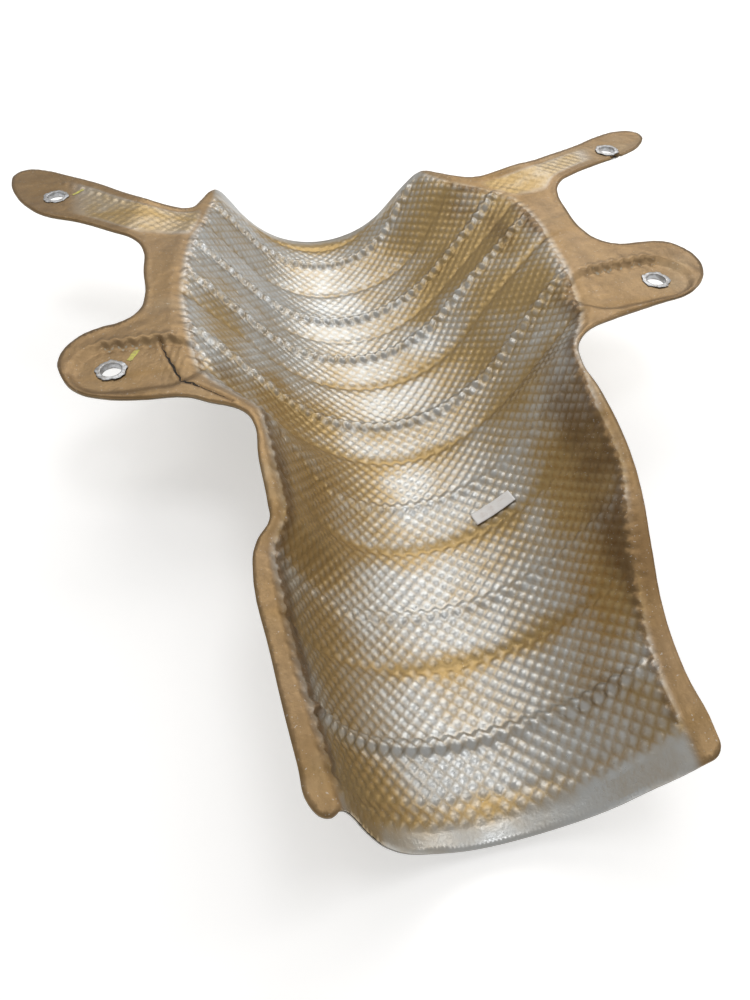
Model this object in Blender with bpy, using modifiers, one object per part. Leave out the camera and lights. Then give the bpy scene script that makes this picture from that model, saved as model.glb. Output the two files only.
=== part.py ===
"""Embossed exhaust heat shield: a sandwich of two thin formed skins over a
fibre mat, with four mounting ears, each with a clinched two-piece eyelet.

It lies with its channel opening upwards, the way it is set down on a bench.
X runs across the channel, +Y runs towards the end with the two long arms,
+Z is up.  The origin is in the middle of the footprint, level with the lowest
point of the outer skin.  Dimensions are in millimetres and are turned into
metres where the meshes are made.
"""

import math

import bmesh
import bpy
import numpy as np

MM = 0.001

# ------------------------------------------------------- driving dimensions --
SKIN = 0.4              # sheet thickness of either skin
GAP = 0.3               # clearance kept between neighbouring layers
MAT = 1.8               # compressed thickness of the fibre mat
LOFT = MAT + GAP        # extra stand-off of the outer skin over the mat
EAR_LEVEL = 66.75       # height of the ear plane above the ground
SHIFT_X = 4.06          # ear frame to footprint middle
SHIFT_Y = 101.13
FILLET = 6.0            # blend between channel wall and flange

HOLE_D = 10.0           # clear bore of an eyelet, for an M6 screw with float
EYELET_WALL = 0.5
EYELET_FLANGE_D = 15.0
WASHER_D = 18.0
WASHER_T = 0.6
PAD_DEPTH = 2.5         # sink of the front pads below the ear plane
RIB_WIDTH = 4.5

# Hole centres in the ear frame (x, y, sink below the ear plane)
EARS = {
    "rear_left": (-174.0, 284.0, 0.0),
    "rear_right": (178.0, 270.0, 0.0),
    "front_left": (-142.0, 110.0, PAD_DEPTH),
    "front_right": (144.0, 125.0, PAD_DEPTH),
}

# Channel stations along its length.  Rim lines, rim levels, floor line, floor
# level and the slope of either wall in degrees.
STATION_Y = [-130, -118, -85, -45, -15, 10, 40, 66, 80, 96, 110, 135, 165, 195, 230, 255, 275, 300, 315]
RIM_LEFT = [-72, -74, -79, -82, -83, -75, -76, -78, -88, -100, -104, -106, -107, -104, -98, -90, -85, -80, -79]
RIM_RIGHT = [46, 47, 49, 58, 67, 74, 76, 79, 81, 90, 96, 101, 104, 106, 103, 88, 71, 60, 58]
LEVEL_LEFT = [-5, -5, -4, -4, -3, -2, -1, 0, 0, 0, 0, 0, -1, -2, -5, -8, -11, -14, -15]
LEVEL_RIGHT = [-20, -19, -17, -12, -8, -5, -3, -1, 0, 0, 0, 0, -1, -2, -4, -7, -10, -14, -15]
FLOOR_X = [-21, -20, -18, -16, -14, -12, -10, -8, -6, -5, -5, -6, -9, -11, -12, -12, -12, -12, -12]
FLOOR_Z = [-61, -61, -62, -63, -64, -64, -64, -64, -64, -64, -64, -64, -64, -63, -62, -61, -60, -60, -60]
SLOPE_LEFT = [74, 74, 72, 70, 68, 66, 64, 60, 54, 49, 46, 44, 44, 44, 46, 48, 48, 48, 48]
SLOPE_RIGHT = [47, 47, 49, 52, 54, 54, 54, 53, 52, 50, 47, 43, 38, 36, 36, 38, 42, 45, 46]

# Stiffening beads across the channel: floor position, how far each side sweeps
# back per mm of climb (left, right), and height.
BEADS = [
    (267, 0.30, 0.75, 1.8),
    (205, 0.40, 0.75, 2.0),
    (167, 0.40, 0.75, 2.0),
    (106, 0.50, 0.60, 2.2),
    (46, 0.30, 0.30, 1.0),
    (-18, 0.10, 0.10, 1.0),
    (-80, 0.00, -0.10, 2.0),
]

# Grid lines of the formed sheet
ROWS = [-126, -117, -108, -99, -90, -80, -70, -58, -45, -32, -18, -6, 6, 19, 32, 46, 57, 68, 80, 90,
        100, 106, 115, 125, 135, 146, 157, 167, 178, 191, 205, 218, 231, 244, 252, 260, 267, 274, 280,
        287, 294, 300, 308, 330]
ACROSS = [0.1, 0.25, 0.42, 0.57, 0.7, 0.81, 0.9, 0.96, 1.02]
MAT_REACH = 0.81        # the mat ends at this share of the half width
MAT_ROWS = (-99, 280)

# Outline of the trimmed sheet in plan, from the front left corner onwards
OUTLINE = [
    (-79, -118), (-75, -116.5), (-70, -113.5), (-66, -115.5), (-60, -118.5), (-40, -119.5), (0, -120), (30, -121.5),
    (48, -122), (54, -120), (56, -112), (56, -90), (59, -65), (66, -38), (73, -12), (77.5, 15), (79, 45),
    (79, 72), (82, 82), (92, 90), (106, 95), (128, 101), (150, 107), (162, 113), (170.5, 124), (173.5, 138),
    (170, 150), (163, 157), (150, 159), (138, 160), (129, 167), (124.5, 180), (124.5, 205), (127, 226),
    (132, 237), (145, 246), (165, 255), (190, 265), (204, 275), (210, 286), (207, 293), (196, 295.5),
    (180, 291), (160, 281), (140, 273), (120, 266), (104, 266), (86, 270), (77, 278), (68, 290), (61, 299),
    (54, 302), (30, 301), (0, 302), (-30, 302), (-50, 301), (-63, 301), (-69, 306), (-75, 309), (-81, 302),
    (-89, 284), (-95, 273), (-106, 269), (-120, 271), (-130, 278), (-150, 297), (-168, 311), (-182, 321),
    (-193, 324.5), (-200, 320), (-201.7, 308), (-198, 292), (-190, 276), (-180, 264), (-160, 252),
    (-140, 236), (-128, 226), (-124.5, 217), (-124.5, 190), (-124.5, 166), (-128, 153), (-136, 145.5),
    (-148, 142), (-158, 136), (-166, 121), (-164, 107), (-157, 95), (-145, 88), (-130, 84), (-108, 81),
    (-98, 75), (-86, 68), (-81, 60), (-81, 35), (-80.5, 10), (-81, 1), (-87, -8), (-90, -18), (-88.5, -60),
    (-85.5, -100), (-84, -113),
]

# Blank label stuck in the channel: centre, turn in plan, length, width
LABEL_AT = (27.3, 29.3)
LABEL_TURN = 10.0
LABEL_SIZE = (20.0, 7.5)
LABEL_T = 0.15
LABEL_LIFT = 0.9


# ------------------------------------------------------------- sheet surface --
def fair(xs, ys):
    """A smooth curve through the stations that never overshoots them."""
    xs = np.array(xs, float)
    ys = np.array(ys, float)
    rise = np.diff(ys) / np.diff(xs)
    slope = np.zeros_like(ys)
    slope[0], slope[-1] = rise[0], rise[-1]
    for i in range(1, len(ys) - 1):
        if rise[i - 1] * rise[i] > 0:
            slope[i] = 2 * rise[i - 1] * rise[i] / (rise[i - 1] + rise[i])

    def curve(x):
        x = np.clip(np.asarray(x, float), xs[0], xs[-1])
        i = np.clip(np.searchsorted(xs, x, side="right") - 1, 0, len(xs) - 2)
        h = xs[i + 1] - xs[i]
        t = (x - xs[i]) / h
        return (
            (2 * t**3 - 3 * t**2 + 1) * ys[i]
            + (t**3 - 2 * t**2 + t) * h * slope[i]
            + (3 * t**2 - 2 * t**3) * ys[i + 1]
            + (t**3 - t**2) * h * slope[i + 1]
        )

    return curve


rim_left = fair(STATION_Y, RIM_LEFT)
rim_right = fair(STATION_Y, RIM_RIGHT)
level_left = fair(STATION_Y, LEVEL_LEFT)
level_right = fair(STATION_Y, LEVEL_RIGHT)
floor_x = fair(STATION_Y, FLOOR_X)
floor_z = fair(STATION_Y, FLOOR_Z)
slope_left = fair(STATION_Y, SLOPE_LEFT)
slope_right = fair(STATION_Y, SLOPE_RIGHT)


def smooth_step(t):
    t = np.clip(t, 0, 1)
    return t * t * (3 - 2 * t)


def lower_blend(a, b, width):
    """The lower of two heights, with a round blend where they cross."""
    share = np.clip(0.5 + 0.5 * (b - a) / width, 0, 1)
    return b * (1 - share) + a * share - width * share * (1 - share)


def side_values(x, y):
    left = x < floor_x(y)
    rim = np.where(left, rim_left(y), rim_right(y))
    level = np.where(left, level_left(y), level_right(y))
    slope = np.radians(np.where(left, slope_left(y), slope_right(y)))
    return left, rim, level, slope


def channel(x, y):
    """Height of the channel: a round floor that runs into straight walls."""
    _, rim, level, slope = side_values(x, y)
    half = np.abs(rim - floor_x(y))
    climb = level - floor_z(y)
    radius = np.maximum((half - climb / np.tan(slope)) / np.tan(slope / 2), 15)
    away = np.abs(x - floor_x(y))
    tangent = radius * np.sin(slope)
    arc = floor_z(y) + radius - np.sqrt(np.maximum(radius**2 - np.minimum(away, tangent) ** 2, 0))
    return arc + np.maximum(away - tangent, 0) * np.tan(slope)


def flange(x, y):
    """Height of the flanges and ears, which run out level from the rim."""
    _, rim, level, _ = side_values(x, y)
    return level * (1 - smooth_step((np.abs(x) - np.abs(rim) - 4) / 36))


def pad_sink(x, y):
    """The sunk pads of the two front ears, round at the tip."""
    sink = 0.0
    for name, inner in (("front_left", -116.0), ("front_right", 112.0)):
        cx, cy, depth = EARS[name]
        tilt = 0.10 if cx > 0 else -0.03
        nearest = np.clip(x, min(cx, inner), max(cx, inner))
        away = np.hypot(x - nearest, y - cy - tilt * (nearest - cx))
        sink = sink + depth * (1 - smooth_step((away - 15.0) / 6.0))
    return sink


def bead_lift(x, y, level):
    """Height added by the stiffening beads."""
    left = x < floor_x(y)
    climb = np.clip(level - floor_z(y), 0, 70)
    lift = 0.0
    for at, sweep_left, sweep_right, height in BEADS:
        off = y - at - np.where(left, sweep_left, sweep_right) * climb
        lift = lift + height / (1 + (off / RIB_WIDTH) ** 2)
    _, rim, _, _ = side_values(x, y)
    inside = 1 - smooth_step((np.abs(x - floor_x(y)) / np.abs(rim - floor_x(y)) - 0.86) / 0.12)
    ends = smooth_step((y + 117) / 9) * smooth_step((299 - y) / 9)
    return lift * inside * ends


def sheet(x, y):
    """Height of the sheet's inner face over the ear frame."""
    base = lower_blend(channel(x, y), flange(x, y), FILLET)
    return base + bead_lift(x, y, base) - pad_sink(x, y)


def sheet_point(x, y, depth):
    """A point of the sheet pushed down along its normal, in world metres."""
    e = 0.05
    nx = -(sheet(x + e, y) - sheet(x - e, y)) / (2 * e)
    ny = -(sheet(x, y + e) - sheet(x, y - e)) / (2 * e)
    size = math.sqrt(nx * nx + ny * ny + 1)
    z = float(sheet(x, y)) - depth / size
    return (
        (x - depth * nx / size - SHIFT_X) * MM,
        (y - depth * ny / size - SHIFT_Y) * MM,
        (z + EAR_LEVEL) * MM,
    )


# -------------------------------------------------------------- scene set-up --
for old in list(bpy.data.objects):
    bpy.data.objects.remove(old, do_unlink=True)

shield = bpy.data.collections.new("exhaust_heat_shield")
helpers = bpy.data.collections.new("cutters")
bpy.context.scene.collection.children.link(shield)
bpy.context.scene.collection.children.link(helpers)


def finish(name, colour, roughness, metallic):
    material = bpy.data.materials.new(name)
    material.use_nodes = True
    shader = material.node_tree.nodes["Principled BSDF"]
    shader.inputs["Base Color"].default_value = (*colour, 1)
    shader.inputs["Roughness"].default_value = roughness
    shader.inputs["Metallic"].default_value = metallic
    material.diffuse_color = (*colour, 1)
    return material


inner_metal = finish("heat_tinted_inner_sheet", (0.46, 0.40, 0.30), 0.32, 1.0)
outer_metal = finish("dull_outer_sheet", (0.40, 0.37, 0.33), 0.45, 1.0)
fibre = finish("ceramic_fibre_mat", (0.78, 0.76, 0.70), 0.95, 0.0)
eyelet_steel = finish("worn_eyelet_steel", (0.62, 0.62, 0.63), 0.30, 1.0)
washer_steel = finish("washer_steel", (0.50, 0.50, 0.50), 0.38, 1.0)
paper = finish("blank_label_paper", (0.80, 0.80, 0.78), 0.60, 0.0)


def add(name, mesh, material, collection=shield):
    made = bpy.data.objects.new(name, mesh)
    collection.objects.link(made)
    if material:
        mesh.materials.append(material)
    return made


def column_lines(y):
    """X positions of the grid lines that run along the sheet, at one row."""
    middle = float(floor_x(y))
    reach_left = middle - float(rim_left(y))
    reach_right = float(rim_right(y)) - middle
    lines = [(-t, middle - t * reach_left) for t in reversed(ACROSS)]
    lines += [(t, middle + t * reach_right) for t in ACROSS]
    # flange lines: four shared out to x = 122, then fixed lines over the ears
    left_edge, right_edge = lines[0][1], lines[-1][1]
    for share in (0.2, 0.55, 1.0):
        lines.insert(0, (-2.0, left_edge + share * (-122 - left_edge)))
        lines.append((2.0, right_edge + share * (122 - right_edge)))
    for x in (-132, -152, -164, -184, -215):
        lines.insert(0, (-2.0, x))
    for x in (134, 154, 168, 188, 222):
        lines.append((2.0, x))
    return lines


def loft_depth(t, y, depth, rides_mat):
    """Depth of a layer, standing off over the mat and pinched at the rims."""
    if not rides_mat:
        return depth
    over = min(max((0.96 - abs(t)) / 0.08, 0), 1)
    over *= min(max((y + 112) / 10, 0), 1) * min(max((299 - y) / 11, 0), 1)
    return depth + LOFT * over


def formed_layer(name, material, depth, thickness, rides_mat=False, columns=None, rows=None):
    """One layer of the sandwich: a grid formed to the sheet, then thickened."""
    chosen = [y for y in ROWS if rows is None or rows[0] <= y <= rows[1]]
    lines = [column_lines(y) for y in chosen]
    keep = [i for i, (t, _) in enumerate(lines[0]) if columns is None or abs(t) <= columns + 1e-6]
    form = bmesh.new()
    bmesh.ops.create_grid(form, x_segments=len(keep) - 1, y_segments=len(chosen) - 1, size=1)
    form.verts.ensure_lookup_table()
    order = sorted(form.verts, key=lambda v: (round(v.co.y, 5), round(v.co.x, 5)))
    for number, vert in enumerate(order):
        row, column = divmod(number, len(keep))
        t, x = lines[row][keep[column]]
        y = chosen[row]
        vert.co = sheet_point(x, y, loft_depth(t, y, depth, rides_mat))
    bmesh.ops.triangulate(form, faces=form.faces[:], quad_method="FIXED")
    bmesh.ops.recalc_face_normals(form, faces=form.faces[:])
    if sum(face.normal.z for face in form.faces) < 0:
        bmesh.ops.reverse_faces(form, faces=form.faces[:])
    mesh = bpy.data.meshes.new(name)
    form.to_mesh(mesh)
    form.free()
    layer = add(name, mesh, material)
    wall = layer.modifiers.new("thickness", "SOLIDIFY")
    wall.thickness = thickness * MM
    wall.offset = -1
    wall.use_even_offset = False
    return layer


def cut(target, cutter, operation="DIFFERENCE"):
    step = target.modifiers.new(cutter.name, "BOOLEAN")
    step.operation = operation
    step.object = cutter
    step.solver = "EXACT"


def outline_prism():
    """The trim outline as a tall closed prism."""
    outline = bpy.data.curves.new("trim_outline", "CURVE")
    outline.dimensions = "2D"
    outline.fill_mode = "BOTH"
    outline.extrude = 0.1
    outline.resolution_u = 2
    spline = outline.splines.new("BEZIER")
    spline.bezier_points.add(len(OUTLINE) - 1)
    for point, (x, y) in zip(spline.bezier_points, OUTLINE):
        point.co = ((x - SHIFT_X) * MM, (y - SHIFT_Y) * MM, 0)
        point.handle_left_type = point.handle_right_type = "AUTO"
    spline.use_cyclic_u = True
    guide = bpy.data.objects.new("trim_guide", outline)
    guide.location.z = 0.04
    helpers.objects.link(guide)
    bpy.context.view_layer.update()
    solid = bpy.data.meshes.new_from_object(guide.evaluated_get(bpy.context.evaluated_depsgraph_get()))
    tidy = bmesh.new()
    tidy.from_mesh(solid)
    bmesh.ops.remove_doubles(tidy, verts=tidy.verts[:], dist=1e-6)
    bmesh.ops.recalc_face_normals(tidy, faces=tidy.faces[:])
    tidy.to_mesh(solid)
    tidy.free()
    cutter = add("trim_prism", solid, None, helpers)
    cutter.matrix_world = guide.matrix_world
    bpy.data.objects.remove(guide, do_unlink=True)
    bpy.data.curves.remove(outline)
    cutter.hide_render = True
    cutter.display_type = "WIRE"
    return cutter


def hole_cutter(name, x, y):
    """A plain drill through both skins."""
    drill = bmesh.new()
    bmesh.ops.create_cone(
        drill, cap_ends=True, segments=20, radius1=(HOLE_D / 2 + EYELET_WALL + GAP) * MM,
        radius2=(HOLE_D / 2 + EYELET_WALL + GAP) * MM, depth=0.03,
    )
    mesh = bpy.data.meshes.new(name)
    drill.to_mesh(mesh)
    drill.free()
    cutter = add(name, mesh, None, helpers)
    cutter.location = ((x - SHIFT_X) * MM, (y - SHIFT_Y) * MM, EAR_LEVEL * MM)
    cutter.hide_render = True
    cutter.display_type = "WIRE"
    return cutter


def turned(name, profile, material, place, steps=20):
    """A ring turned about the vertical from a closed profile of (r, z)."""
    ring = bmesh.new()
    corners = [ring.verts.new((r * MM, 0, z * MM)) for r, z in profile]
    for a, b in zip(corners, corners[1:] + corners[:1]):
        ring.edges.new((a, b))
    mesh = bpy.data.meshes.new(name)
    ring.to_mesh(mesh)
    ring.free()
    made = add(name, mesh, material)
    made.location = place
    spin = made.modifiers.new("turn", "SCREW")
    spin.axis = "Z"
    spin.steps = spin.render_steps = steps
    spin.use_merge_vertices = True
    spin.merge_threshold = 0.000001
    spin.use_normal_calculate = True
    spin.use_smooth_shade = True
    return made


# -------------------------------------------------------------------- skins --
inner_skin = formed_layer("inner_skin", inner_metal, 0.0, SKIN)
outer_skin = formed_layer("outer_skin", outer_metal, SKIN + GAP, SKIN, rides_mat=True)
insulation_mat = formed_layer(
    "insulation_mat", fibre, SKIN + GAP, MAT, columns=MAT_REACH, rows=MAT_ROWS
)

prism = outline_prism()
drills = [hole_cutter("drill_" + ear, x, y) for ear, (x, y, _) in EARS.items()]
for skin in (inner_skin, outer_skin):
    cut(skin, prism, "INTERSECT")
    for drill in drills:
        cut(skin, drill)

# ------------------------------------------------------------------ eyelets --
bore = HOLE_D / 2
sleeve = bore + EYELET_WALL
stack = SKIN + GAP + SKIN                      # both skins, pressed together
top = GAP + EYELET_WALL                        # over the inner skin
washer_top = -stack - GAP
washer_foot = washer_top - WASHER_T
roll = washer_foot - GAP
for ear, (x, y, sink) in EARS.items():
    place = ((x - SHIFT_X) * MM, (y - SHIFT_Y) * MM, (EAR_LEVEL - sink) * MM)
    # sleeve with a flange over the inner skin and its end rolled under the washer
    turned(
        "eyelet_" + ear,
        [
            (bore + 0.3, top), (EYELET_FLANGE_D / 2 - 0.2, top), (EYELET_FLANGE_D / 2, top - 0.2),
            (EYELET_FLANGE_D / 2, GAP), (sleeve, GAP), (sleeve, roll), (bore + 2.2, roll),
            (bore + 2.3, roll - 0.25), (bore + 2.1, roll - 0.5), (bore + 0.3, roll - 0.5),
            (bore, roll - 0.2), (bore, top - 0.3),
        ],
        eyelet_steel,
        place,
    )
    # loose backing ring that the sleeve is rolled over
    turned(
        "eyelet_washer_" + ear,
        [
            (sleeve + GAP, washer_top), (WASHER_D / 2 - 0.15, washer_top), (WASHER_D / 2, washer_top - 0.15),
            (WASHER_D / 2, washer_foot), (sleeve + GAP, washer_foot),
        ],
        washer_steel,
        place,
    )

# -------------------------------------------------------------------- label --
sticker = bmesh.new()
bmesh.ops.create_grid(sticker, x_segments=6, y_segments=2, size=0.5)
turn = math.radians(LABEL_TURN)
for vert in sticker.verts:
    along = vert.co.x * LABEL_SIZE[0]
    aside = vert.co.y * LABEL_SIZE[1]
    vert.co = sheet_point(
        LABEL_AT[0] + along * math.cos(turn) - aside * math.sin(turn),
        LABEL_AT[1] + along * math.sin(turn) + aside * math.cos(turn),
        -LABEL_LIFT,
    )
sticker_mesh = bpy.data.meshes.new("label")
sticker.to_mesh(sticker_mesh)
sticker.free()
label = add("label", sticker_mesh, paper)
paper_wall = label.modifiers.new("thickness", "SOLIDIFY")
paper_wall.thickness = LABEL_T * MM
paper_wall.offset = 1

for piece in shield.objects:
    piece.data.shade_smooth()
    if piece.name in ("inner_skin", "outer_skin", "insulation_mat"):
        piece.data.set_sharp_from_angle(angle=math.radians(35))
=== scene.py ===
import math

import bmesh
import bpy
import numpy as np
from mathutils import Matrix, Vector

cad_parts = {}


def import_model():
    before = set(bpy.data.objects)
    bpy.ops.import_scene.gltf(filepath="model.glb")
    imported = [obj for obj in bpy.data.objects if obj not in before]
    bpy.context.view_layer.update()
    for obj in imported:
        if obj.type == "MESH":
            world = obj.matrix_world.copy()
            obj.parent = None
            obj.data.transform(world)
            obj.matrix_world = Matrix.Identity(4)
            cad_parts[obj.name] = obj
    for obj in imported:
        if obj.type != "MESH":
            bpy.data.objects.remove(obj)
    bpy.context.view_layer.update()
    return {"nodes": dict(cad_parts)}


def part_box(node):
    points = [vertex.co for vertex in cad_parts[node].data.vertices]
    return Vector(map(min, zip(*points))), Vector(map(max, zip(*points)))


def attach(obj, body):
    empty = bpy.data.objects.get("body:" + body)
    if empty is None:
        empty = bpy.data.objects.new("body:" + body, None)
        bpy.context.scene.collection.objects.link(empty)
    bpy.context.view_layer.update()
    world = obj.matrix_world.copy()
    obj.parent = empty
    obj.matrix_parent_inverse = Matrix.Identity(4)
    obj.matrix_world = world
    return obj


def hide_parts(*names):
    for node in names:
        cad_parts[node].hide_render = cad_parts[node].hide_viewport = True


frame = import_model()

nodes = frame["nodes"]

# Embossed heat shield.  The formed sheet is laid out in the ear frame, in mm,
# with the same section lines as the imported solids, and is turned into metres
# where the meshes are made.
MM = 0.001
SKIN, GAP, MAT = 0.4, 0.3, 1.8
LOFT = MAT + GAP
SHIFT_X, SHIFT_Y = 4.06, 101.13
EAR_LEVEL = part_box("inner_skin")[1].z * 1000
FILLET = 6.0
HOLE_D = 10.0
EYELET_WALL = 0.5
PAD_DEPTH = 2.5
RIB_WIDTH = 4.5

# Hole centres in the ear frame (x, y, sink below the ear plane)
EARS = {
    "rear_left": (-174.0, 284.0, 0.0),
    "rear_right": (178.0, 270.0, 0.0),
    "front_left": (-142.0, 110.0, PAD_DEPTH),
    "front_right": (144.0, 125.0, PAD_DEPTH),
}

# Channel stations along its length.  Rim lines, rim levels, floor line, floor
# level and the slope of either wall in degrees.
STATION_Y = [-130, -118, -85, -45, -15, 10, 40, 66, 80, 96, 110, 135, 165, 195, 230, 255, 275, 300, 315]
RIM_LEFT = [-72, -74, -79, -82, -83, -75, -76, -78, -88, -100, -104, -106, -107, -104, -98, -90, -85, -80, -79]
RIM_RIGHT = [46, 47, 49, 58, 67, 74, 76, 79, 81, 90, 96, 101, 104, 106, 103, 88, 71, 60, 58]
LEVEL_LEFT = [-5, -5, -4, -4, -3, -2, -1, 0, 0, 0, 0, 0, -1, -2, -5, -8, -11, -14, -15]
LEVEL_RIGHT = [-20, -19, -17, -12, -8, -5, -3, -1, 0, 0, 0, 0, -1, -2, -4, -7, -10, -14, -15]
FLOOR_X = [-21, -20, -18, -16, -14, -12, -10, -8, -6, -5, -5, -6, -9, -11, -12, -12, -12, -12, -12]
FLOOR_Z = [-61, -61, -62, -63, -64, -64, -64, -64, -64, -64, -64, -64, -64, -63, -62, -61, -60, -60, -60]
SLOPE_LEFT = [74, 74, 72, 70, 68, 66, 64, 60, 54, 49, 46, 44, 44, 44, 46, 48, 48, 48, 48]
SLOPE_RIGHT = [47, 47, 49, 52, 54, 54, 54, 53, 52, 50, 47, 43, 38, 36, 36, 38, 42, 45, 46]

# Stiffening beads across the channel: floor position, how far each side sweeps
# back per mm of climb (left, right), and height.
BEADS = [
    (267, 0.30, 0.75, 1.8),
    (205, 0.40, 0.75, 2.0),
    (167, 0.40, 0.75, 2.0),
    (106, 0.50, 0.60, 2.2),
    (46, 0.30, 0.30, 1.0),
    (-18, 0.10, 0.10, 1.0),
    (-80, 0.00, -0.10, 2.0),
]

# Outline of the trimmed sheet in plan, from the front left corner onwards
OUTLINE = [
    (-79, -118), (-75, -116.5), (-70, -113.5), (-66, -115.5), (-60, -118.5), (-40, -119.5), (0, -120), (30, -121.5),
    (48, -122), (54, -120), (56, -112), (56, -90), (59, -65), (66, -38), (73, -12), (77.5, 15), (79, 45),
    (79, 72), (82, 82), (92, 90), (106, 95), (128, 101), (150, 107), (162, 113), (170.5, 124), (173.5, 138),
    (170, 150), (163, 157), (150, 159), (138, 160), (129, 167), (124.5, 180), (124.5, 205), (127, 226),
    (132, 237), (145, 246), (165, 255), (190, 265), (204, 275), (210, 286), (207, 293), (196, 295.5),
    (180, 291), (160, 281), (140, 273), (120, 266), (104, 266), (86, 270), (77, 278), (68, 290), (61, 299),
    (54, 302), (30, 301), (0, 302), (-30, 302), (-50, 301), (-63, 301), (-69, 306), (-75, 309), (-81, 302),
    (-89, 284), (-95, 273), (-106, 269), (-120, 271), (-130, 278), (-150, 297), (-168, 311), (-182, 321),
    (-193, 324.5), (-200, 320), (-201.7, 308), (-198, 292), (-190, 276), (-180, 264), (-160, 252),
    (-140, 236), (-128, 226), (-124.5, 217), (-124.5, 190), (-124.5, 166), (-128, 153), (-136, 145.5),
    (-148, 142), (-158, 136), (-166, 121), (-164, 107), (-157, 95), (-145, 88), (-130, 84), (-108, 81),
    (-98, 75), (-86, 68), (-81, 60), (-81, 35), (-80.5, 10), (-81, 1), (-87, -8), (-90, -18), (-88.5, -60),
    (-85.5, -100), (-84, -113),
]

# ------------------------------------------------------------- sheet surface --
def fair(xs, ys):
    """A smooth curve through the stations that never overshoots them."""
    xs = np.array(xs, float)
    ys = np.array(ys, float)
    rise = np.diff(ys) / np.diff(xs)
    slope = np.zeros_like(ys)
    slope[0], slope[-1] = rise[0], rise[-1]
    for i in range(1, len(ys) - 1):
        if rise[i - 1] * rise[i] > 0:
            slope[i] = 2 * rise[i - 1] * rise[i] / (rise[i - 1] + rise[i])

    def curve(x):
        x = np.clip(np.asarray(x, float), xs[0], xs[-1])
        i = np.clip(np.searchsorted(xs, x, side="right") - 1, 0, len(xs) - 2)
        h = xs[i + 1] - xs[i]
        t = (x - xs[i]) / h
        return (
            (2 * t**3 - 3 * t**2 + 1) * ys[i]
            + (t**3 - 2 * t**2 + t) * h * slope[i]
            + (3 * t**2 - 2 * t**3) * ys[i + 1]
            + (t**3 - t**2) * h * slope[i + 1]
        )

    return curve


rim_left = fair(STATION_Y, RIM_LEFT)
rim_right = fair(STATION_Y, RIM_RIGHT)
level_left = fair(STATION_Y, LEVEL_LEFT)
level_right = fair(STATION_Y, LEVEL_RIGHT)
floor_x = fair(STATION_Y, FLOOR_X)
floor_z = fair(STATION_Y, FLOOR_Z)
slope_left = fair(STATION_Y, SLOPE_LEFT)
slope_right = fair(STATION_Y, SLOPE_RIGHT)


def smooth_step(t):
    t = np.clip(t, 0, 1)
    return t * t * (3 - 2 * t)


def lower_blend(a, b, width):
    """The lower of two heights, with a round blend where they cross."""
    share = np.clip(0.5 + 0.5 * (b - a) / width, 0, 1)
    return b * (1 - share) + a * share - width * share * (1 - share)


def side_values(x, y):
    left = x < floor_x(y)
    rim = np.where(left, rim_left(y), rim_right(y))
    level = np.where(left, level_left(y), level_right(y))
    slope = np.radians(np.where(left, slope_left(y), slope_right(y)))
    return left, rim, level, slope


def channel(x, y):
    """Height of the channel: a round floor that runs into straight walls."""
    _, rim, level, slope = side_values(x, y)
    half = np.abs(rim - floor_x(y))
    climb = level - floor_z(y)
    radius = np.maximum((half - climb / np.tan(slope)) / np.tan(slope / 2), 15)
    away = np.abs(x - floor_x(y))
    tangent = radius * np.sin(slope)
    arc = floor_z(y) + radius - np.sqrt(np.maximum(radius**2 - np.minimum(away, tangent) ** 2, 0))
    return arc + np.maximum(away - tangent, 0) * np.tan(slope)


def flange(x, y):
    """Height of the flanges and ears, which run out level from the rim."""
    _, rim, level, _ = side_values(x, y)
    return level * (1 - smooth_step((np.abs(x) - np.abs(rim) - 4) / 36))


def pad_sink(x, y):
    """The sunk pads of the two front ears, round at the tip."""
    sink = 0.0
    for name, inner in (("front_left", -116.0), ("front_right", 112.0)):
        cx, cy, depth = EARS[name]
        tilt = 0.10 if cx > 0 else -0.03
        nearest = np.clip(x, min(cx, inner), max(cx, inner))
        away = np.hypot(x - nearest, y - cy - tilt * (nearest - cx))
        sink = sink + depth * (1 - smooth_step((away - 15.0) / 6.0))
    return sink


def bead_lift(x, y, level):
    """Height added by the stiffening beads."""
    left = x < floor_x(y)
    climb = np.clip(level - floor_z(y), 0, 70)
    lift = 0.0
    for at, sweep_left, sweep_right, height in BEADS:
        off = y - at - np.where(left, sweep_left, sweep_right) * climb
        lift = lift + height / (1 + (off / RIB_WIDTH) ** 2)
    _, rim, _, _ = side_values(x, y)
    inside = 1 - smooth_step((np.abs(x - floor_x(y)) / np.abs(rim - floor_x(y)) - 0.86) / 0.12)
    ends = smooth_step((y + 117) / 9) * smooth_step((299 - y) / 9)
    return lift * inside * ends


def sheet(x, y):
    """Height of the sheet's inner face over the ear frame."""
    base = lower_blend(channel(x, y), flange(x, y), FILLET)
    return base + bead_lift(x, y, base) - pad_sink(x, y)




# ------------------------------------------------------- developed coordinates --
# s runs across the sheet along its surface from the floor line, y along it.
S_STEP, Y_STEP = 0.5, 1.0
S_GRID = np.arange(-300, 300.01, S_STEP)
Y_GRID = np.arange(-130, 334.01, Y_STEP)
X_GRID = np.linspace(-240, 240, 2401)


def base_height(x, y):
    return lower_blend(channel(x, y), flange(x, y), FILLET)


def develop():
    x, y = np.meshgrid(X_GRID, Y_GRID)
    z = base_height(x, y)
    run = np.hypot(np.diff(x, axis=1), np.diff(z, axis=1))
    s = np.concatenate([np.zeros((len(Y_GRID), 1)), np.cumsum(run, axis=1)], axis=1)
    x_of = np.empty((len(Y_GRID), len(S_GRID)))
    for row, yy in enumerate(Y_GRID):
        s[row] -= np.interp(float(floor_x(yy)), X_GRID, s[row])
        x_of[row] = np.interp(S_GRID, s[row], X_GRID)
    return x_of, s


X_OF, S_OF = develop()


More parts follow.
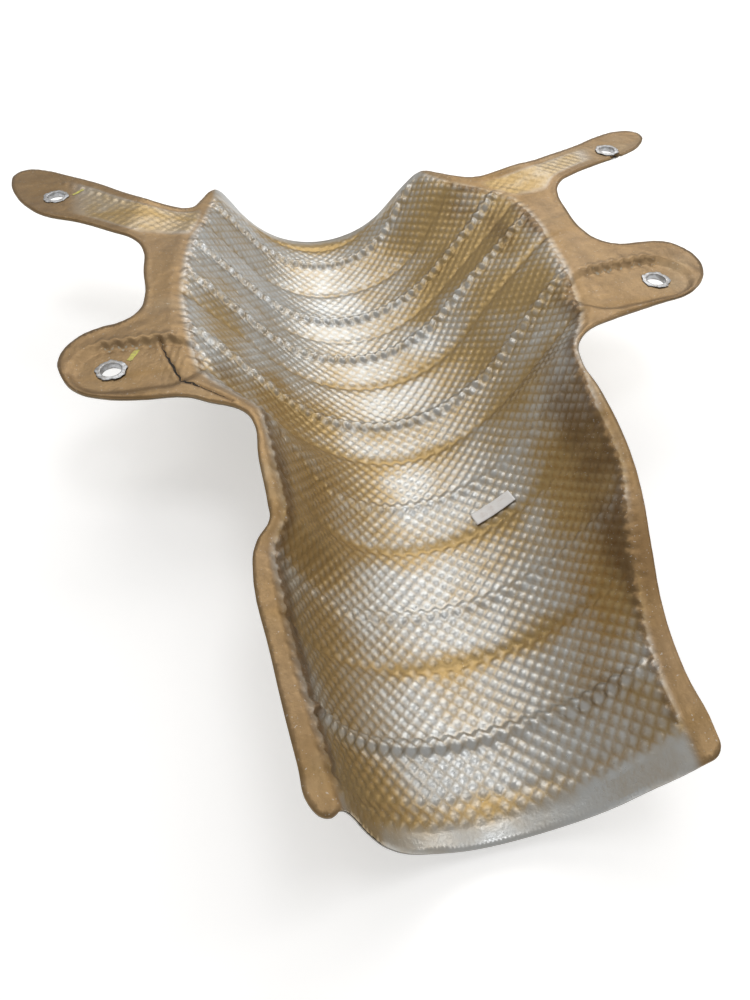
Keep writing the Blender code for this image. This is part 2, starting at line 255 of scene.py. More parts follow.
def look_up(table, u, v, u0, du, v0, dv):
    """Bilinear value of a table whose rows run with v and columns with u."""
    i = np.clip((u - u0) / du, 0, table.shape[1] - 1.001)
    j = np.clip((v - v0) / dv, 0, table.shape[0] - 1.001)
    a, b = i.astype(int), j.astype(int)
    p, q = i - a, j - b
    return (
        table[b, a] * (1 - p) * (1 - q) + table[b, a + 1] * p * (1 - q)
        + table[b + 1, a] * (1 - p) * q + table[b + 1, a + 1] * p * q
    )


def plan_x(s, y):
    return look_up(X_OF, s, y, S_GRID[0], S_STEP, Y_GRID[0], Y_STEP)


def across(x, y):
    return look_up(S_OF, x, y, X_GRID[0], X_GRID[1] - X_GRID[0], Y_GRID[0], Y_STEP)


# --------------------------------------------------------------- trim outline --
def trim_line():
    """The trim outline as a dense closed line, from the same control points."""
    curve = bpy.data.curves.new("trim", "CURVE")
    curve.dimensions = "2D"
    curve.resolution_u = 5
    spline = curve.splines.new("BEZIER")
    spline.bezier_points.add(len(OUTLINE) - 1)
    for point, (x, y) in zip(spline.bezier_points, OUTLINE):
        point.co = (x, y, 0)
        point.handle_left_type = point.handle_right_type = "AUTO"
    spline.use_cyclic_u = True
    guide = bpy.data.objects.new("trim", curve)
    bpy.context.scene.collection.objects.link(guide)
    bpy.context.view_layer.update()
    line = guide.evaluated_get(bpy.context.evaluated_depsgraph_get()).to_mesh()
    points = np.array([v.co[:2] for v in line.vertices])
    bpy.data.objects.remove(guide, do_unlink=True)
    bpy.data.curves.remove(curve)
    return points


TRIM = trim_line()


def inside_trim(x, y):
    inside = np.zeros(len(x), bool)
    ax, ay = TRIM[:, 0], TRIM[:, 1]
    bx, by = np.roll(ax, -1), np.roll(ay, -1)
    for x0, y0, x1, y1 in zip(ax, ay, bx, by):
        if y0 == y1:
            continue
        low, high = (y0, y1) if y0 < y1 else (y1, y0)
        hit = np.flatnonzero((y >= low) & (y < high))
        if len(hit):
            cross = x0 + (y[hit] - y0) * (x1 - x0) / (y1 - y0)
            inside[hit] ^= x[hit] < cross
    return inside


def nearest_on_trim(x, y):
    """Nearest trim point and its distance, for each point."""
    a = TRIM
    d = np.roll(TRIM, -1, axis=0) - a
    long2 = np.maximum((d**2).sum(1), 1e-9)
    found = np.empty((len(x), 2))
    away = np.empty(len(x))
    for start in range(0, len(x), 4000):
        p = np.stack([x[start:start + 4000], y[start:start + 4000]], 1)
        t = np.clip(((p[:, None] - a[None]) * d[None]).sum(2) / long2, 0, 1)
        q = a[None] + t[:, :, None] * d[None]
        r = np.hypot(*(p[:, None] - q).transpose(2, 0, 1))
        k = r.argmin(1)
        found[start:start + 4000] = q[np.arange(len(p)), k]
        away[start:start + 4000] = r[np.arange(len(p)), k]
    return found, away


# --------------------------------------------------------------- fine relief --
PITCH = 4.6
ROOT2 = math.sqrt(2)
RAISE = 1.15            # the bands between the creases stand this far over the mat line
# concave creases between the bands: floor position and sweep, as for the beads
CREASES = [
    (-103, 0.0, -0.1, 0.5), (-45, 0.05, 0.0, 0.7), (19, 0.2, 0.25, 0.9), (80, 0.4, 0.45, 0.9),
    (142, 0.45, 0.65, 0.8), (186, 0.4, 0.75, 0.4), (235, 0.35, 0.75, 0.7), (288, 0.3, 0.75, 0.5),
]
SHARP = {267: 1.0, 205: 1.0, 167: 1.0, 106: 0.8, -80: 0.9, 46: 0.35, -18: 0.35}


def hash_noise(x, y, cell, seed):
    """Smooth repeatable noise between -1 and 1."""
    u, v = x / cell, y / cell
    i, j = np.floor(u), np.floor(v)
    p, q = smooth_step(u - i), smooth_step(v - j)

    def corner(a, b):
        w = np.sin(a * 127.1 + b * 311.7 + seed * 74.7) * 43758.5453
        return 2 * (w - np.floor(w)) - 1

    return (
        corner(i, j) * (1 - p) * (1 - q) + corner(i + 1, j) * p * (1 - q)
        + corner(i, j + 1) * (1 - p) * q + corner(i + 1, j + 1) * p * q
    )


def wave(t):
    """Triangular wave between -1 and 1 with period 1."""
    return 4 * np.abs(t - np.floor(t + 0.5)) - 1


def bump(s, y):
    a = (s + y) / ROOT2 / PITCH
    b = (y - s) / ROOT2 / PITCH
    return (np.abs(np.sin(np.pi * a)) * np.abs(np.sin(np.pi * b))) ** 0.6


# the tear runs from the root of the front left ear along the foot of its flange
TEAR = np.array([
    (-118.0, 128.0), (-117.3, 120.3), (-115.2, 113.5), (-112.4, 103.6), (-110.5, 96.3), (-107.7, 90.5),
    (-104.6, 89.0), (-99.8, 85.0), (-95.2, 80.4), (-88.0, 73.0),
])


def distance_to(line, x, y):
    """Distance to an open line, capped at 30 mm for points far from it."""
    found = np.full(len(x), 30.0)
    low, high = line.min(0) - 12, line.max(0) + 12
    near = np.flatnonzero((x > low[0]) & (x < high[0]) & (y > low[1]) & (y < high[1]))
    for a, b in zip(line[:-1], line[1:]):
        d = b - a
        t = np.clip(((x[near] - a[0]) * d[0] + (y[near] - a[1]) * d[1]) / (d @ d), 0, 1)
        found[near] = np.minimum(found[near], np.hypot(x[near] - a[0] - t * d[0], y[near] - a[1] - t * d[1]))
    return found


def share(x, y):
    _, rim, _, _ = side_values(x, y)
    return (x - floor_x(y)) / (rim - floor_x(y))


def line_offset(x, y, at, sweep_left, sweep_right, base):
    climb = np.clip(base - floor_z(y), 0, 70)
    return y - at - np.where(x < floor_x(y), sweep_left, sweep_right) * climb


def masks(x, y, away):
    """Where the sheet is embossed, and how strongly."""
    t = share(x, y)
    s = across(x, y)
    left = x < floor_x(y)
    channel_part = 1 - smooth_step((t - 0.965) / 0.05)
    ends = smooth_step((y + 113) / 5) * smooth_step((301 - y) / 10)
    arms = smooth_step((t - 1.0) / 0.04) * smooth_step((y - (232 if True else 0)) / 8) * smooth_step((away - 5) / 3)
    arms = arms * (1 - smooth_step((np.abs(x) - 150) / 18)) * smooth_step((np.abs(x) - 88) / 6)
    strength = 0.62 - 0.20 * smooth_step((y - 90) / 110) - 0.10 * np.where(left, smooth_step((y - 110) / 80), 0)
    strength = strength * smooth_step((away - 1.5) / 3.5)
    return channel_part * ends * strength + arms * 0.32, channel_part, ends, arms, t, s


def relief(x, y, away):
    """Fine relief of the inner face over the plain sheet, and its colour masks."""
    base = base_height(x, y)
    emboss, channel_part, ends, arms, t, s = masks(x, y, away)
    lattice = bump(s, y)
    crest = np.zeros_like(x)
    crease = np.zeros_like(x)
    lift = np.zeros_like(x)
    zig = wave(s / (PITCH * ROOT2) + 0.25)
    body = channel_part * ends
    for at, sweep_left, sweep_right, _ in BEADS:
        off = line_offset(x, y, at, sweep_left, sweep_right, base)
        force = SHARP[at]
        near = np.exp(-((off + 1.1 * zig * force) / 1.9) ** 2)
        lift += force * 1.55 * near * body
        # pinched troughs on either side of the crest
        lift -= force * 0.65 * np.exp(-((np.abs(off + 1.1 * zig * force) - 3.4) / 1.5) ** 2) * body
        crest += force * np.exp(-(off / 4.2) ** 2)
    for at, sweep_left, sweep_right, deep in CREASES:
        off = line_offset(x, y, at, sweep_left, sweep_right, base)
        fold = deep * (1.25 * np.exp(-(off / 1.7) ** 2) + 0.6 * np.exp(-(off / 6.0) ** 2))
        lift -= fold * body
        crease += deep * np.exp(-(off / 2.6) ** 2)
    crest = np.clip(crest, 0, 1)
    crease = np.clip(crease, 0, 1)
    lift = np.maximum(lift + RAISE * body, 0.12 * body)
    height = emboss * (1 + 0.55 * crest) * (1 - 0.45 * crease) * lattice + lift
    # crimps along both rims, deepest where the right rim dips
    fins = np.where(
        x > 0,
        0.35 + 0.9 * np.exp(-((y + 40) / 26) ** 2),
        0.3 + 0.8 * np.exp(-((y + 75) / 40) ** 2) + 0.6 * np.exp(-((y - 130) / 30) ** 2),
    )
    rim_band = np.exp(-((t - 0.985) / 0.035) ** 2) * smooth_step((y + 112) / 8) * smooth_step((292 - y) / 14)
    comb = np.abs(np.sin(np.pi * (y + 0.25 * s) / 6.5)) - 0.5
    height += fins * 0.75 * rim_band * comb
    # scalloped far edge of the front pads and the bead rows along the long arms
    pad = np.zeros_like(x)
    for name, inner in (("front_left", -118.0), ("front_right", 114.0)):
        cx, cy, depth = EARS[name]
        tilt = 0.10 if cx > 0 else -0.03
        near = np.clip(x, min(cx, inner), max(cx, inner))
        off = np.hypot(x - near, y - cy - tilt * (near - cx))
        pad += 1 - smooth_step((off - 13) / 3)
        reach = smooth_step((np.abs(x) - 106) / 6)
        far = smooth_step((y - cy - 6) / 6)
        tip = 1 - smooth_step((np.abs(x) - 146) / 10)
        height += 0.75 * np.exp(-((off - 20.5 - 1.4 * wave(x / 6.5)) / 1.5) ** 2) * far * reach * tip
        height -= 0.65 * np.exp(-((off - 17.0 - 1.2 * wave(x / 6.5)) / 1.6) ** 2) * far * reach * tip
        height += 0.30 * np.exp(-((off - 22.5) / 2.5) ** 2) * (1 - far) * reach
    row = np.exp(-((away - 9.5) / 2.4) ** 2) * (np.abs(x) > 84) * smooth_step((np.abs(x) - 88) / 8)
    row = row * (1 - smooth_step((np.abs(x) - 168) / 10)) * ((y > 262 + 0.35 * np.maximum(np.abs(x) - 120, 0)))
    height += row * (0.9 * np.abs(np.sin(np.pi * x / 4.9)) - 0.25)
    # slack wrinkles and dents of thin sheet on the flats
    flat = 1 - np.clip(channel_part + arms, 0, 1)
    slack = hash_noise(x, y, 17.0, 3) * 0.22 + hash_noise(x, y, 6.5, 7) * 0.09
    crackle = np.exp(-(hash_noise(x, y, 5.0, 11) / 0.16) ** 2) * 0.16
    edge = smooth_step((away - 0.5) / 4)
    height += flat * edge * (slack + crackle * (1 - 0.6 * np.clip(pad, 0, 1)))
    height += body * hash_noise(x, y, 26.0, 5) * 0.25 * smooth_step(away / 8)
    # torn and puckered root of the front left ear
    tear = distance_to(TEAR, x, y)
    height += 0.42 * np.exp(-((tear - 1.9) / 1.1) ** 2) - 0.25 * np.exp(-(tear / 0.8) ** 2)
    root = np.exp(-((np.abs(x) - 110.0) / 7.5) ** 2) * np.exp(-((y - 114) / 22.0) ** 2)
    height += root * (0.42 * np.abs(np.sin(np.pi * (x - 0.25 * y) / 3.6)) - 0.1) * (x < 0)
    root = np.exp(-((x - 110.0) / 8.0) ** 2) * np.exp(-((y - 118) / 16.0) ** 2)
    height += root * 0.35 * hash_noise(x, y, 3.6, 17)
    # rolled safe edge, a little proud
    height += 0.35 * np.exp(-((away - 1.6) / 1.5) ** 2) * flat
    return height, dict(
        s=s, t=t, lattice=lattice, crest=crest, crease=crease, body=body, flat=flat,
        pad=np.clip(pad, 0, 1), tear=tear, row=row, rim=rim_band, arms=arms, emboss=emboss,
    )


# ---------------------------------------------------------------- heat tints --
# Soft patches of golden tint on the bright sheet: s, y, reach in s, reach in y, strength
GOLD_PATCHES = [
    (82, 215, 42, 42, 0.95), (70, 262, 40, 26, 0.75), (92, 160, 30, 40, 0.85), (62, 130, 34, 24, 0.55),
    (-8, 292, 60, 9, 0.75), (-45, 268, 26, 10, 0.25), (30, 150, 16, 10, 0.35), (70, 90, 40, 26, 0.55),
    (-62, 108, 40, 16, 0.85), (-92, 150, 14, 40, 0.6), (-66, 78, 36, 24, 0.75), (-60, 45, 40, 22, 0.85),
    (-15, 100, 20, 8, 0.35), (-20, 75, 30, 8, 0.5), (-72, 10, 34, 30, 0.85), (-30, 16, 40, 9, 0.65),
    (-66, -40, 30, 30, 0.8), (-60, -95, 30, 30, 0.85), (-15, -108, 50, 7, 0.6), (20, -45, 60, 7, 0.6),
    (86, 20, 26, 40, 0.95), (88, -40, 24, 34, 0.95), (78, -95, 22, 30, 0.5), (45, 19, 50, 8, 0.5),
    (-20, 50, 22, 18, 0.35), (-58, 170, 12, 8, 0.3), (-70, 128, 16, 8, 0.4), (-30, 30, 40, 14, 0.4),
    (20, 80, 50, 7, 0.45), (50, 142, 60, 6, 0.5), (50, 190, 14, 26, 0.55), (118, 232, 20, 40, 0.6),
    (110, 210, 20, 38, 0.95), (108, 150, 18, 34, 0.8),
]
BROWN_PATCHES = [
    (96, 40, 16, 60, 0.75), (92, -30, 14, 40, 0.8), (-88, 30, 8, 36, 0.6), (-92, 78, 9, 18, 0.3),
    (-88, -50, 8, 60, 0.5), (100, 252, 22, 20, 0.45), (126, 205, 14, 26, 0.4), (60, -82, 34, 8, 0.35),
    (118, 120, 10, 22, 0.55), (113, 212, 11, 30, 0.5), (-104, 112, 10, 12, 0.45), (96, 88, 16, 20, 0.3), (70, -100, 16, 14, 0.35),
]


def patches(s, y, table):
    total = np.zeros_like(s)
    for s0, y0, ds, dy, strength in table:
        total = np.maximum(total, strength * np.exp(-((s - s0) / ds) ** 2 - ((y - y0) / dy) ** 2))
    return total


def tones(x, y, away, info):
    """Red: golden tint.  Green: brown heat stain, plus painted shade along the tear.  Blue: plain flange metal."""
    s = info["s"]
    gold = patches(s, y, GOLD_PATCHES) + 0.22 * hash_noise(s, y, 21.0, 21) + 0.10 * hash_noise(s, y, 9.0, 22)
    brown = patches(s, y, BROWN_PATCHES) + 0.10 * hash_noise(s, y, 12.0, 23)
    gold = np.clip(gold, 0, 1) * (1 - 0.55 * info["crest"] * (SHARP is not None))
    gold = np.clip(0.15 + 0.85 * gold + 0.25 * info["crease"], 0, 1)
    gold = np.clip(gold + 0.5 * info["arms"], 0, 1)
    brown = np.clip(brown + 0.5 * info["rim"] * (info["t"] < 0.985), 0, 1)
    brown = brown + info["flat"] * (
        0.34 * (1 - info["pad"]) * smooth_step((np.abs(x) - 112) / 20) + 0.16 * np.exp(-(away / 5.0) ** 2)
    )
    # painted shade: darker brown in a narrow band along the tear, standing in for shade in the crack
    brown = np.clip(brown + 1.2 * np.exp(-(info["tear"] / 1.1) ** 2), 0, 1)
    low = 1 - info["lattice"]
    hollow = np.clip(low, 0, 1) * info["body"]
    return np.stack([gold, brown, info["flat"], hollow], 1)


# ------------------------------------------------------------- sheet builder --
def lofted(x, y):
    t = np.abs(share(x, y))
    over = np.clip((0.96 - t) / 0.08, 0, 1)
    return LOFT * over * np.clip((y + 112) / 10, 0, 1) * np.clip((299 - y) / 11, 0, 1)


def sheet_grid(step):
    """Lattice-aligned grid inside the trim: plan points and quads."""
    reach = int(440 / step)
    i, j = np.meshgrid(np.arange(-reach, reach + 1), np.arange(-reach, reach + 1), indexing="ij")
    s = (i - j) * step / ROOT2
    y = (i + j) * step / ROOT2
    fit = (np.abs(s) < 292) & (y > -124) & (y < 328)
    x = np.full(s.shape, np.nan)
    x[fit] = plan_x(s[fit], y[fit])
    keep = fit.copy()
    keep[fit] = inside_trim(x[fit], y[fit])
    drill = HOLE_D / 2 + EYELET_WALL + GAP
    for cx, cy, _ in EARS.values():
        keep &= ~(np.hypot(np.nan_to_num(x) - cx, y - cy) < drill)
    whole = keep[:-1, :-1] & keep[1:, :-1] & keep[1:, 1:] & keep[:-1, 1:]
    used = np.zeros_like(keep)
    used[:-1, :-1] |= whole
    used[1:, :-1] |= whole
    used[1:, 1:] |= whole
    used[:-1, 1:] |= whole
    index = np.full(s.shape, -1)
    index[used] = np.arange(used.sum())
    quads = np.stack([index[:-1, :-1], index[1:, :-1], index[1:, 1:], index[:-1, 1:]], -1)[whole]
    return x[used], y[used], quads


def edges_once(quads):
    ends = np.concatenate([quads[:, [0, 1]], quads[:, [1, 2]], quads[:, [2, 3]], quads[:, [3, 0]]])
    key = np.sort(ends, axis=1)
    _, index, count = np.unique(key, axis=0, return_inverse=True, return_counts=True)
    return ends[count[index.reshape(-1)] == 1]


def trimmed_sheet(step):
    x, y, quads = sheet_grid(step)
    border = edges_once(quads)
    rim = np.unique(border)
    found, away = nearest_on_trim(x[rim], y[rim])
    drill = HOLE_D / 2 + EYELET_WALL + GAP
    for cx, cy, _ in EARS.values():
        dx, dy = x[rim] - cx, y[rim] - cy
        r = np.hypot(dx, dy)
        close = r < drill + 3 * step
        found[close, 0] = cx + dx[close] / r[close] * drill
        found[close, 1] = cy + dy[close] / r[close] * drill
    x[rim], y[rim] = found[:, 0], found[:, 1]
    return x, y, quads, border


def edge_distance(x, y):
    """Distance to the trim, interpolated from distances sampled on a 2 mm grid."""
    cell = 2.0
    gx = np.arange(-216, 222, cell)
    gy = np.arange(-132, 334, cell)
    px, py = np.meshgrid(gx, gy)
    _, away = nearest_on_trim(px.ravel(), py.ravel())
    return look_up(away.reshape(px.shape), x, y, gx[0], cell, gy[0], cell)


def world(x, y, z):
    return np.stack([(x - SHIFT_X), (y - SHIFT_Y), (z + EAR_LEVEL)], 1) * MM


def normals_at(x, y):
    e = 0.4
    nx = -(sheet(x + e, y) - sheet(x - e, y)) / (2 * e)
    ny = -(sheet(x, y + e) - sheet(x, y - e)) / (2 * e)
    n = np.stack([nx, ny, np.ones_like(nx)], 1)
    return n / np.linalg.norm(n, axis=1)[:, None]


def build_skin(name, fine_step, coarse_step, fine_depth, coarse_depth, faces_up, relief_scale):
    """A thin trimmed sheet: the face that shows is fine, the hidden one coarse."""
    x, y, quads, border = trimmed_sheet(fine_step)
    away = edge_distance(x, y)
    height, info = relief(x, y, away)
    n = normals_at(x, y)
    z = sheet(x, y)
    if relief_scale < 0:
        height = np.maximum(height - RAISE * info["body"], -0.1)
    put = height * relief_scale - fine_depth(x, y)
    top = np.stack([x, y, z], 1) + n * put[:, None]
    colour = tones(x, y, away, info)
    cx, cy, cquads, _ = trimmed_sheet(coarse_step)
    cn = normals_at(cx, cy)
    tuck = 0.2 * smooth_step((edge_distance(cx, cy) - 1.5) / 3) * (1 if faces_up else -0.15)
    under = np.stack([cx, cy, sheet(cx, cy)], 1) - cn * (coarse_depth(cx, cy) + tuck)[:, None]
    # wall between the two faces along every trimmed edge
    rim = np.unique(border)
    lower = np.full(len(x), -1)
    lower[rim] = np.arange(len(rim)) + len(x)
    wall_points = np.stack([x, y, z], 1)[rim] - n[rim] * coarse_depth(x[rim], y[rim])[:, None]
    walls = np.stack([border[:, 1], border[:, 0], lower[border[:, 0]], lower[border[:, 1]]], 1)
    points = np.concatenate([top, wall_points, under])
    quads_all = np.concatenate([quads, walls, cquads[:, ::-1] + len(x) + len(rim)])
    if not faces_up:
        quads_all = quads_all[:, ::-1]
    mesh = bpy.data.meshes.new(name)
    mesh.from_pydata(world(*points.T), [], quads_all.tolist())
    tone = mesh.attributes.new("tone", "FLOAT_COLOR", "POINT")
    values = np.zeros((len(points), 4), np.float32)
    values[: len(x)] = colour
    values[len(x): len(x) + len(rim)] = colour[rim]
    values[len(x) + len(rim):, 2] = 1
    tone.data.foreach_set("color", values.ravel())
    mesh.shade_smooth()
    made = bpy.data.objects.new(name, mesh)
    bpy.context.scene.collection.objects.link(made)
    return made


# ------------------------------------------------------------------ materials --
class Graph:
    """Short way to wire a node material."""

    def __init__(self, name):
        self.material = bpy.data.materials.new(name)
        self.material.use_nodes = True
        self.tree = self.material.node_tree
        self.tree.nodes.clear()
        self.out = self.tree.nodes.new("ShaderNodeOutputMaterial")
        self.shader = self.tree.nodes.new("ShaderNodeBsdfPrincipled")
        self.tree.links.new(self.shader.outputs[0], self.out.inputs[0])
        self.place = self.tree.nodes.new("ShaderNodeTexCoord").outputs["Object"]

    def link(self, a, b):
        self.tree.links.new(a, b)

    def noise(self, scale, detail=3.0, rough=0.55, distort=0.0):
        node = self.tree.nodes.new("ShaderNodeTexNoise")
        node.inputs["Scale"].default_value = scale
        node.inputs["Detail"].default_value = detail
        node.inputs["Roughness"].default_value = rough
        node.inputs["Distortion"].default_value = distort
        self.link(self.place, node.inputs["Vector"])
        return node.outputs["Fac"]

    def voronoi(self, scale, feature="F1"):
        node = self.tree.nodes.new("ShaderNodeTexVoronoi")
        node.feature = feature
        node.inputs["Scale"].default_value = scale
        self.link(self.place, node.inputs["Vector"])
        return node.outputs["Distance"]

    def math(self, kind, a, b=None, c=None, clamp=False):
        node = self.tree.nodes.new("ShaderNodeMath")
        node.operation = kind
        node.use_clamp = clamp
        for socket, value in zip(node.inputs, (a, b, c)):
            if value is None:
                continue
            if isinstance(value, (int, float)):
                socket.default_value = value
            else:
                self.link(value, socket)
        return node.outputs[0]

    def ramp(self, value, low, high, out_low=0.0, out_high=1.0):
        node = self.tree.nodes.new("ShaderNodeMapRange")
        node.interpolation_type = "SMOOTHSTEP"
        node.inputs["From Min"].default_value = low
        node.inputs["From Max"].default_value = high
        node.inputs["To Min"].default_value = out_low
        node.inputs["To Max"].default_value = out_high
        self.link(value, node.inputs["Value"])
        return node.outputs[0]

    def mix(self, share, a, b, kind="MIX"):
        node = self.tree.nodes.new("ShaderNodeMix")
        node.data_type = "RGBA"
        node.blend_type = kind
        if isinstance(share, (int, float)):
            node.inputs["Factor"].default_value = share
        else:
            self.link(share, node.inputs["Factor"])
        for socket, value in ((node.inputs[6], a), (node.inputs[7], b)):
            if isinstance(value, tuple):
                socket.default_value = (*value, 1)
            else:
                self.link(value, socket)
        return node.outputs[2]

    def bump(self, height, distance, strength=1.0, under=None):
        node = self.tree.nodes.new("ShaderNodeBump")
        node.inputs["Strength"].default_value = strength
        node.inputs["Distance"].default_value = distance
        self.link(height, node.inputs["Height"])
        if under is not None:
            self.link(under, node.inputs["Normal"])
        return node.outputs[0]

    def tone(self):
        node = self.tree.nodes.new("ShaderNodeAttribute")
        node.attribute_name = "tone"
        split = self.tree.nodes.new("ShaderNodeSeparateColor")
        self.link(node.outputs["Color"], split.inputs[0])
        return split.outputs[0], split.outputs[1], split.outputs[2], node.outputs["Alpha"]


def tinted_sheet(name, silver, gold, brown, tan, gold_share, metal, rough):
    g = Graph(name)
    red, green, blue, hollow = g.tone()
    large = g.noise(38, 4, 0.6, 0.4)
    mid = g.noise(130, 4, 0.6, 0.2)
    fine = g.noise(620, 3, 0.6)
    grain = g.noise(2600, 2, 0.6)
    # patchy heat tint with a broken edge, deeper in the hollows of the emboss
    spread = g.math("ADD", red, g.math("MULTIPLY", g.math("SUBTRACT", large, 0.5), 0.40))
    spread = g.math("ADD", spread, g.math("MULTIPLY", g.math("SUBTRACT", mid, 0.5), 0.45))
    spread = g.math("ADD", spread, g.math("MULTIPLY", hollow, 0.30))
    spread = g.math("MULTIPLY", spread, gold_share)
    golden = g.ramp(spread, 0.02, 0.95)
    colour = g.mix(golden, silver, gold)
    dark = g.math("ADD", green, g.math("MULTIPLY", g.math("SUBTRACT", mid, 0.5), 0.35))
    dark = g.math("ADD", dark, g.math("MULTIPLY", hollow, 0.12))
    colour = g.mix(g.ramp(dark, 0.18, 0.95, 0.0, 0.9), colour, brown)
    flat = g.mix(g.ramp(mid, 0.3, 0.75), tan, tuple(c * 0.78 for c in tan))
    flat = g.mix(g.ramp(g.noise(22, 3), 0.52, 0.7, 0.0, 0.45), flat, (0.34, 0.26, 0.155))
    flat = g.mix(g.ramp(g.noise(31, 4, 0.65, 0.6), 0.42, 0.68, 0.0, 0.35), flat, tuple(c * 1.5 for c in brown))
    flat = g.mix(g.ramp(dark, 0.12, 0.9, 0.0, 0.85), flat, tuple(c * 1.3 for c in brown))
    colour = g.mix(g.math("MULTIPLY", blue, 0.92), colour, flat)
    # small worn flecks and soot
    fleck = g.ramp(g.noise(900, 2, 0.5), 0.66, 0.74, 0.0, 0.35)
    colour = g.mix(fleck, colour, tuple(min(c * 1.25, 0.9) for c in silver))
    soot = g.ramp(g.noise(75, 5, 0.7), 0.60, 0.78, 0.0, 0.30)
    colour = g.mix(soot, colour, brown)
    g.link(colour, g.shader.inputs["Base Color"])
    g.shader.inputs["Metallic"].default_value = metal
    roughness = g.math("ADD", rough, g.math("MULTIPLY", golden, 0.07))
    roughness = g.math("ADD", roughness, g.math("MULTIPLY", g.math("SUBTRACT", fine, 0.5), 0.22))
    roughness = g.math("ADD", roughness, g.math("MULTIPLY", blue, 0.12), clamp=True)
    g.link(roughness, g.shader.inputs["Roughness"])
    relief_small = g.bump(fine, 0.00022, 0.8)
    g.link(g.bump(grain, 0.00005, 0.7, relief_small), g.shader.inputs["Normal"])
    return g.material


def worn_steel(name, bright, dull, rough):
    g = Graph(name)
    worn = g.ramp(g.noise(420, 4, 0.6, 0.5), 0.4, 0.62)
    g.link(g.mix(worn, bright, dull), g.shader.inputs["Base Color"])
    g.shader.inputs["Metallic"].default_value = 1.0
    g.link(g.ramp(g.noise(900, 3), 0.3, 0.7, rough, rough + 0.2), g.shader.inputs["Roughness"])
    g.link(g.bump(g.noise(1500, 3), 0.0001, 0.8), g.shader.inputs["Normal"])
    return g.material


def fibre_felt(name):
    g = Graph(name)
    tuft = g.noise(700, 5, 0.7, 1.5)
    g.link(g.mix(g.ramp(tuft, 0.3, 0.7), (0.80, 0.78, 0.72), (0.62, 0.59, 0.52)), g.shader.inputs["Base Color"])
    g.shader.inputs["Roughness"].default_value = 0.95
    g.link(g.bump(tuft, 0.0005, 1.0), g.shader.inputs["Normal"])
    return g.material


def label_paper(name):
    g = Graph(name)
    stain = g.ramp(g.noise(190, 4, 0.6), 0.45, 0.75)
    paper = g.mix(stain, (0.80, 0.79, 0.78), (0.66, 0.60, 0.57))
    g.link(paper, g.shader.inputs["Base Color"])
    g.shader.inputs["Roughness"].default_value = 0.42
    g.link(g.bump(g.noise(1200, 2), 0.00004, 0.6), g.shader.inputs["Normal"])
    return g.material


def paint_mark(name):
    g = Graph(name)
    thin = g.ramp(g.noise(700, 3, 0.6), 0.4, 0.65)
    g.link(g.mix(thin, (0.58, 0.56, 0.10), (0.44, 0.36, 0.12)), g.shader.inputs["Base Color"])
    g.shader.inputs["Roughness"].default_value = 0.45
    g.link(g.bump(g.noise(900, 2), 0.00008, 0.8), g.shader.inputs["Normal"])
    return g.material


inner_metal = tinted_sheet(
    "heat_tinted_sheet", (0.52, 0.535, 0.535), (0.375, 0.26, 0.112), (0.15, 0.092, 0.042), (0.325, 0.200, 0.078), 1.0, 0.86, 0.31
)
outer_metal = tinted_sheet(
    "dull_outer_sheet", (0.46, 0.46, 0.45), (0.36, 0.28, 0.17), (0.20, 0.14, 0.08), (0.34, 0.29, 0.21), 0.55, 0.95, 0.38
)
eyelet_metal = worn_steel("worn_eyelet_steel", (0.50, 0.51, 0.53), (0.36, 0.35, 0.34), 0.34)
washer_metal = worn_steel("washer_steel", (0.60, 0.60, 0.60), (0.42, 0.40, 0.37), 0.35)

# ---------------------------------------------------------------------- skins --
FINE, COARSE = PITCH / 4, PITCH / 2
inner = build_skin(
    "inner_skin_embossed", FINE, COARSE,
    lambda x, y: np.zeros_like(x), lambda x, y: np.full_like(x, SKIN), True, 1.0,
)
inner.data.materials.append(inner_metal)
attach(inner, "root")
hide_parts("inner_skin")

outer = build_skin(
    "outer_skin_embossed", FINE, COARSE,
    lambda x, y: SKIN + GAP + SKIN + lofted(x, y), lambda x, y: SKIN + GAP + lofted(x, y), False, -0.55,
)
outer.data.materials.append(outer_metal)
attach(outer, "root")
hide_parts("outer_skin")


